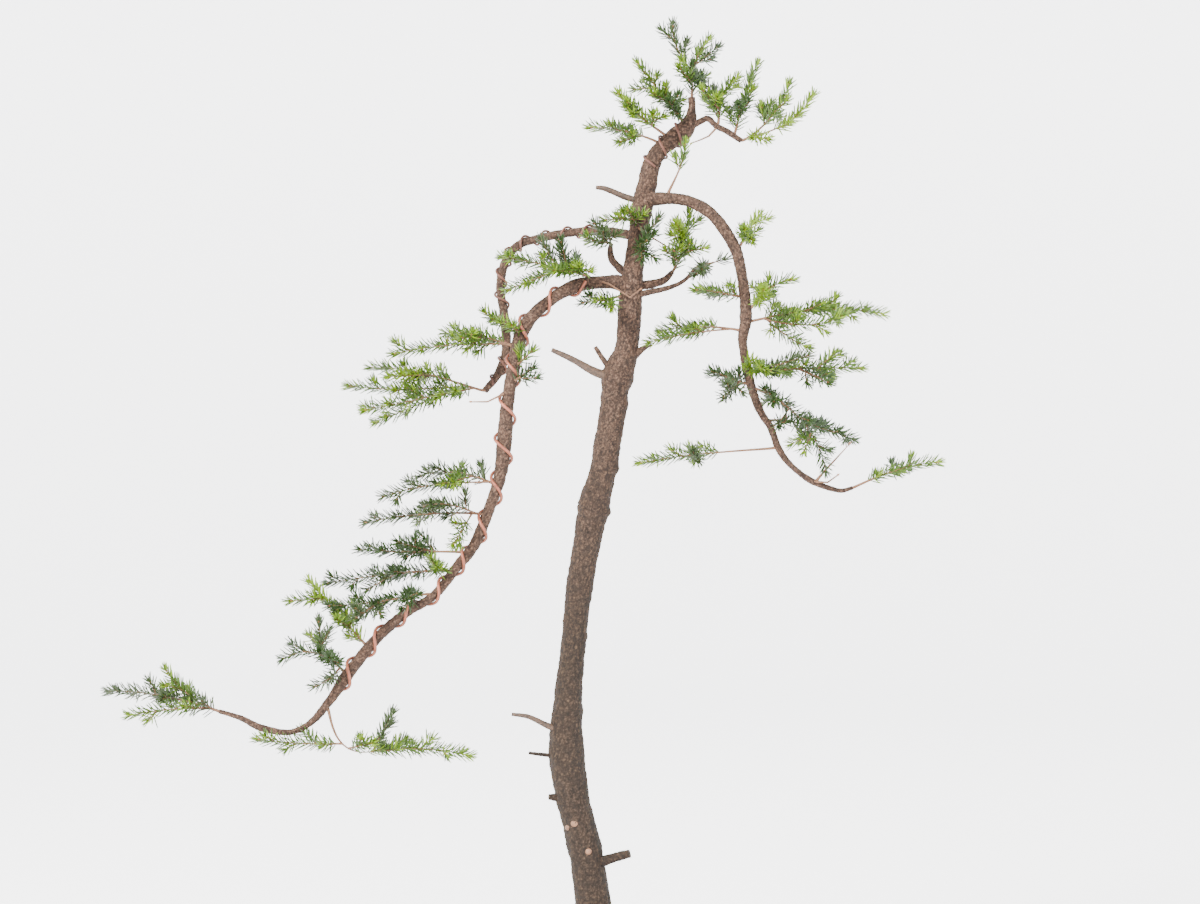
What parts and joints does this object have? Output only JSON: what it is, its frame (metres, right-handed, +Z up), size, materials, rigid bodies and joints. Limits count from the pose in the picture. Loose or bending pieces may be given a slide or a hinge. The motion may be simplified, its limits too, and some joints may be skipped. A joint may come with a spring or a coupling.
{
  "type": "bonsai tree",
  "caption": "Wired spruce bonsai with a slim curved trunk, drooping boughs and small needled sprays, dead snags and copper training wire, in a plain round stoneware pot",
  "frame": {"origin": "The centre of the pot's flat underside, on the surface that it stands on.", "axes": "+Z is up, +X is to the right as the picture shows the tree and +Y points away from the viewer, so the picture looks along +Y."},
  "size_m": [1.0419, 0.31, 1.3314],
  "materials": {
    "bark": "dark grey-brown scaly bark, paler and pinker towards the top",
    "young_bark": "tan-brown bark with rough dark scales",
    "dead_wood": "dead wood, peeled of its bark, dry and orange-tan with pale tips",
    "needles": "short stiff matt green needles on thin orange-tan twigs",
    "copper": "bare copper training wire, bright on the lower bough and browned elsewhere",
    "stoneware": "unglazed dark brown stoneware, fine grained and matt",
    "soil": "baked granular potting soil, dry, filling the pot to just below its rim"
  },
  "bodies": {
    "root": {"pot": "stoneware", "soil": "soil", "trunk": "bark", "left_high_bough_1": "young_bark", "left_high_bough_2": "young_bark", "left_low_bough_1": "young_bark", "left_low_bough_2": "young_bark", "left_low_bough_3": "young_bark", "right_bough_1": "young_bark", "right_bough_2": "young_bark", "apex_bough": "young_bark", "centre_bough": "young_bark", "centre_low_bough": "young_bark", "centre_stub": "young_bark", "peeled_snag_high": "dead_wood", "peeled_snag_long": "dead_wood", "peeled_snag_low": "dead_wood", "copper_wire": "copper", "aged_wire": "copper", "apex_wire": "copper", "apex_crown": "needles", "apex_left_high": "needles", "apex_left_middle": "needles", "apex_left_low": "needles", "apex_middle": "needles", "apex_right": "needles", "apex_right_tip": "needles", "right_bough_upright": "needles", "centre_front_high": "needles", "centre_left_tuft": "needles", "centre_front": "needles", "centre_right": "needles", "centre_low": "needles", "left_centre": "needles", "left_centre_low": "needles", "right_back": "needles", "right_upper": "needles", "right_upper_inner": "needles", "right_middle": "needles", "right_middle_inner": "needles", "right_lower": "needles", "right_lower_inner": "needles", "right_hanging": "needles", "right_hanging_back": "needles", "right_low_inner": "needles", "right_twig": "needles", "right_tip": "needles", "left_tier_front": "needles", "left_tier_back": "needles", "left_upper_pair": "needles", "left_middle_high": "needles", "left_middle": "needles", "left_middle_long": "needles", "left_middle_dark": "needles", "left_lower_fork": "needles", "left_lower_fan": "needles", "left_tip": "needles", "left_hanging": "needles"}
  },
  "joints": []
}
